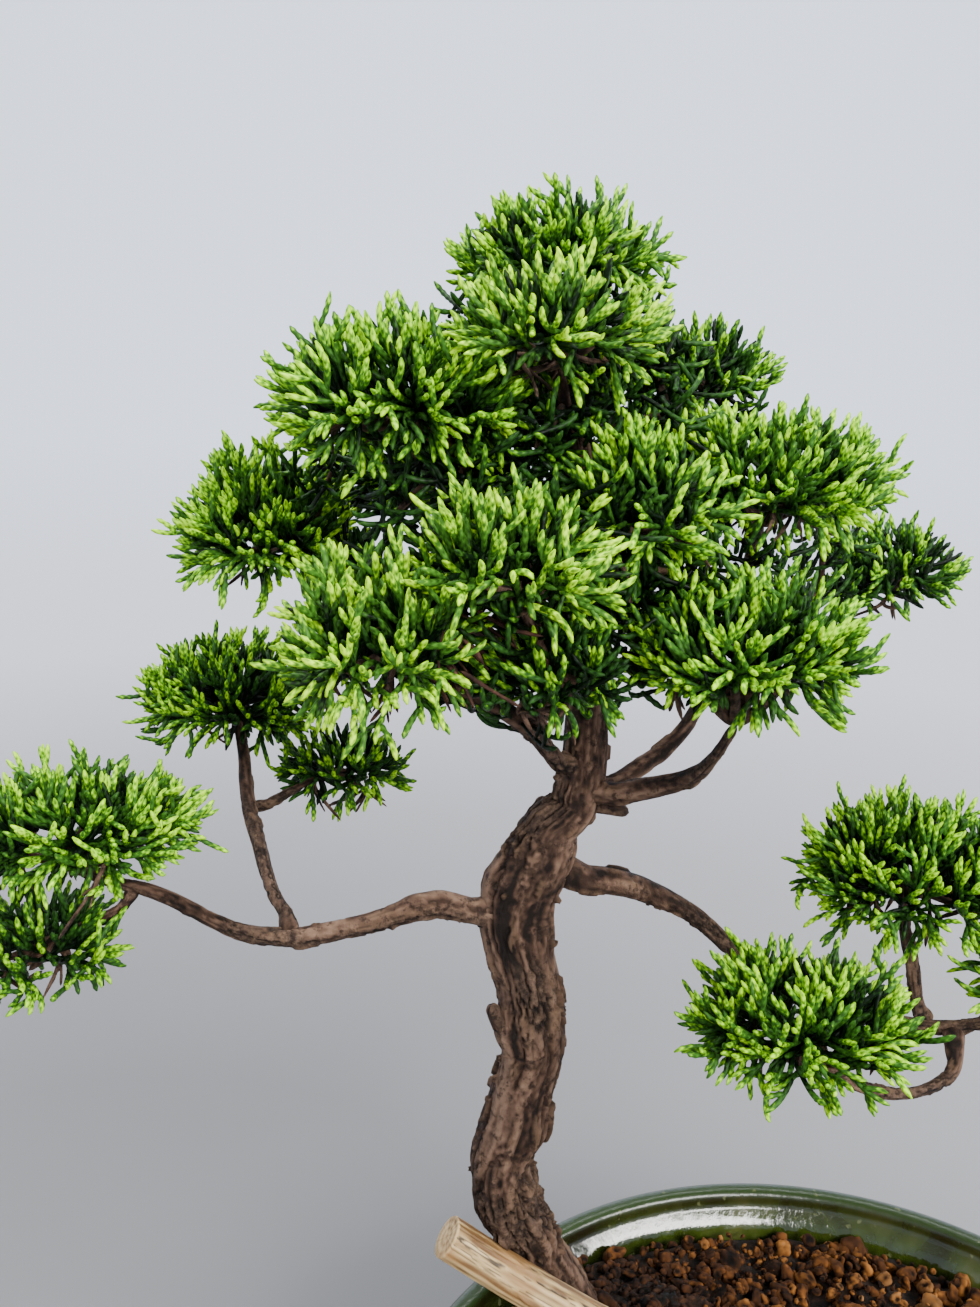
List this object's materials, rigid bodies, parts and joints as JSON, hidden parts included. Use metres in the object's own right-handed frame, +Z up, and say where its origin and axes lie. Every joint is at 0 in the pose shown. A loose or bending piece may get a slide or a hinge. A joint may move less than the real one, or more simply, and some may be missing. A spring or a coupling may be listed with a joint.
{
  "type": "juniper bonsai in a round glazed pot",
  "caption": "Small juniper bonsai with a winding trunk and separate clusters of cord-like foliage, standing in a round glazed bowl of clay grains.",
  "frame": {"origin": "centre of the pot's flat foot, on the ground", "axes": "+Z up through the pot's axis; the tree is seen from -Y, with +X to the right; the trunk stands at the back left of the pot"},
  "size_m": [0.269, 0.2109, 0.326],
  "materials": {
    "glazed_stoneware": "glossy olive green glaze, breaking to brown at the lip",
    "drain_plastic": "matte black plastic mesh",
    "clay_grains": "rough dry fired clay grains",
    "juniper_bark": "fissured, flaking red-brown bark",
    "bleached_wood": "weathered bare wood with fine cracks",
    "juniper_foliage": "satin green scale leaves with yellow-green tips"
  },
  "bodies": {
    "root": {"back_left_branch": "juniper_bark", "back_right_branch": "juniper_bark", "crown_front_branch": "juniper_bark", "deadwood_stick": "bleached_wood", "drain_mesh_1": "drain_plastic", "drain_mesh_2": "drain_plastic", "drain_mesh_3": "drain_plastic", "far_right_branch": "juniper_bark", "first_left_branch": "juniper_bark", "first_right_branch": "juniper_bark", "foliage_back_left": "juniper_foliage", "foliage_back_right": "juniper_foliage", "foliage_back_upper": "juniper_foliage", "foliage_centre_front": "juniper_foliage", "foliage_centre_low": "juniper_foliage", "foliage_crown_back": "juniper_foliage", "foliage_crown_front": "juniper_foliage", "foliage_far_right": "juniper_foliage", "foliage_left_back": "juniper_foliage", "foliage_left_back_inner": "juniper_foliage", "foliage_left_droop": "juniper_foliage", "foliage_left_front": "juniper_foliage", "foliage_left_low": "juniper_foliage", "foliage_left_middle": "juniper_foliage", "foliage_right_inner": "juniper_foliage", "foliage_right_low_back": "juniper_foliage", "foliage_right_low_front": "juniper_foliage", "foliage_right_low_outer": "juniper_foliage", "foliage_right_middle": "juniper_foliage", "foliage_right_upper": "juniper_foliage", "foliage_upper_left": "juniper_foliage", "foliage_upper_right": "juniper_foliage", "front_branch": "juniper_bark", "front_left_branch": "juniper_bark", "inner_right_branch": "juniper_bark", "left_middle_branch": "juniper_bark", "left_riser": "juniper_bark", "left_riser_twig": "juniper_bark", "low_left_twig": "juniper_bark", "pot": "glazed_stoneware", "right_back_branch": "juniper_bark", "right_middle_branch": "juniper_bark", "right_return": "juniper_bark", "right_riser": "juniper_bark", "soil": "clay_grains", "surface_root": "juniper_bark", "trunk": "juniper_bark", "upper_back_branch": "juniper_bark", "upper_left_branch": "juniper_bark", "upper_right_branch": "juniper_bark"}
  },
  "joints": []
}
